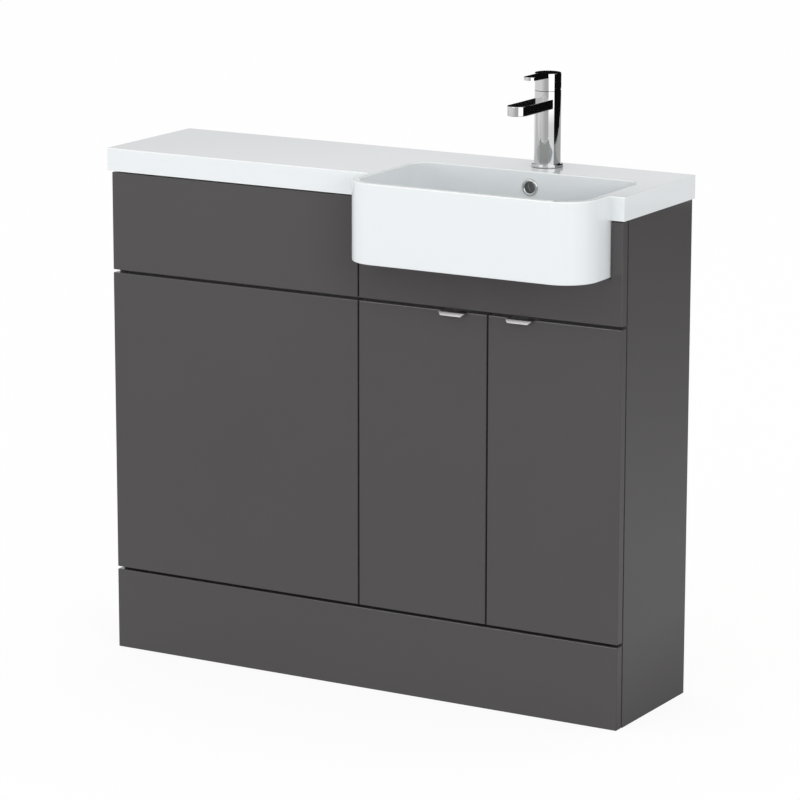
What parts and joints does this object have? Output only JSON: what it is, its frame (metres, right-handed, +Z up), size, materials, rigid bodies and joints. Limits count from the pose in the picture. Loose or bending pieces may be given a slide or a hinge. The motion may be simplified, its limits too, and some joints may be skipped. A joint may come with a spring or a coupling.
{
  "type": "combination vanity unit",
  "caption": "Floor-standing bathroom unit: a toilet-furniture bay with a lift-off access panel beside a two-door basin cupboard, under a one-piece cast basin top with a lever mixer tap.",
  "frame": {"origin": "on the floor, under the middle of the whole unit's box", "axes": "+X to the right as one faces the doors, +Y to the wall behind, +Z up"},
  "size_m": [1.01, 0.357, 1.0642],
  "materials": {
    "gloss_board": "gloss grey lacquer on board, edged all round",
    "carcass_board": "white melamine on board, satin",
    "back_board": "white-faced thin board, satin",
    "cast_mineral": "white cast mineral with a gloss gel coat",
    "tap_chrome": "bright chrome plate",
    "pull_aluminium": "satin anodised",
    "hinge_steel": "bright nickel plate",
    "fixing_steel": "zinc plate",
    "cam_zinc": "die-cast zinc, dull",
    "white_plastic": "moulded, satin",
    "clear_plastic": "clear soft bumper",
    "black_rubber": "matt moulded rubber",
    "tap_brass": "turned brass",
    "cartridge_plastic": "moulded, satin",
    "spindle_steel": "plain steel bar",
    "aerator_plastic": "moulded insert"
  },
  "bodies": {
    "cabinet": {"wc_lower_panel": "gloss_board", "plinth": "gloss_board", "vanity_fascia": "gloss_board", "wc_left_side": "gloss_board", "vanity_right_side": "gloss_board", "wc_right_side": "carcass_board", "vanity_left_side": "carcass_board", "wc_front_rail": "carcass_board", "wc_wall_rail": "carcass_board", "wc_middle_rail": "carcass_board", "wc_bottom_rail": "carcass_board", "vanity_front_rail": "carcass_board", "vanity_wall_rail": "carcass_board", "vanity_base": "carcass_board", "shelf": "carcass_board", "vanity_back_panel": "back_board", "basin_top": "cast_mineral", "tap_body": "tap_chrome", "tap_base_ring": "tap_chrome", "overflow_ring": "tap_chrome", "waste_body": "tap_chrome", "hinge_arms": "hinge_steel", "hinge_plates": "hinge_steel", "cam_bolts": "fixing_steel", "block_screws": "fixing_steel", "hinge_screws": "fixing_steel", "bay_connectors": "fixing_steel", "shelf_pins": "fixing_steel", "tap_stud": "fixing_steel", "tap_horseshoe": "fixing_steel", "cam_locks": "cam_zinc", "panel_blocks": "white_plastic", "access_panel_sockets": "white_plastic", "waste_nut": "white_plastic", "door_bumpers": "clear_plastic", "waste_seal": "black_rubber", "tap_gasket": "black_rubber", "tap_clamp_gasket": "black_rubber", "tap_nut": "tap_brass", "tap_cartridge_nut": "tap_brass", "tap_cartridge": "cartridge_plastic", "tap_aerator": "aerator_plastic"},
    "left_door": {"left_door": "gloss_board", "left_door_pull": "pull_aluminium", "left_door_hinge_cups": "hinge_steel", "left_door_hinge_pins": "hinge_steel", "left_door_cup_screws": "fixing_steel", "left_door_pull_screws": "fixing_steel"},
    "right_door": {"right_door": "gloss_board", "right_door_pull": "pull_aluminium", "right_door_hinge_cups": "hinge_steel", "right_door_hinge_pins": "hinge_steel", "right_door_cup_screws": "fixing_steel", "right_door_pull_screws": "fixing_steel"},
    "access_panel": {"access_panel": "gloss_board", "access_panel_studs": "white_plastic"},
    "tap_carriage": {"tap_carriage": "cartridge_plastic"},
    "tap_handle": {"tap_handle": "tap_chrome", "tap_spindle": "spindle_steel"},
    "waste_plug": {"waste_plug": "tap_chrome"}
  },
  "joints": [
    {"name": "left_door_hinge", "type": "hinge", "parent": "cabinet", "child": "left_door", "pos_m": [0.0095, -0.0693, 0.41575], "axis": [0, 0, -1], "range_deg": [0, 100]},
    {"name": "right_door_hinge", "type": "hinge", "parent": "cabinet", "child": "right_door", "pos_m": [0.492, -0.0693, 0.41575], "axis": [0, 0, 1], "range_deg": [0, 100]},
    {"name": "access_panel_pull", "type": "slide", "parent": "cabinet", "child": "access_panel", "axis": [0, -1, 0], "range_m": [0, 0.03]},
    {"name": "tap_turn", "type": "hinge", "parent": "cabinet", "child": "tap_carriage", "pos_m": [0.25, 0.1303, 1.0348], "axis": [0, 0, 1], "range_deg": [-45, 45]},
    {"name": "tap_lift", "type": "hinge", "parent": "tap_carriage", "child": "tap_handle", "pos_m": [0.25, 0.1303, 1.0348], "axis": [-1, 0, 0], "range_deg": [0, 18]},
    {"name": "plug_press", "type": "slide", "parent": "cabinet", "child": "waste_plug", "axis": [0, 0, 1], "range_m": [0, 0.008]}
  ]
}
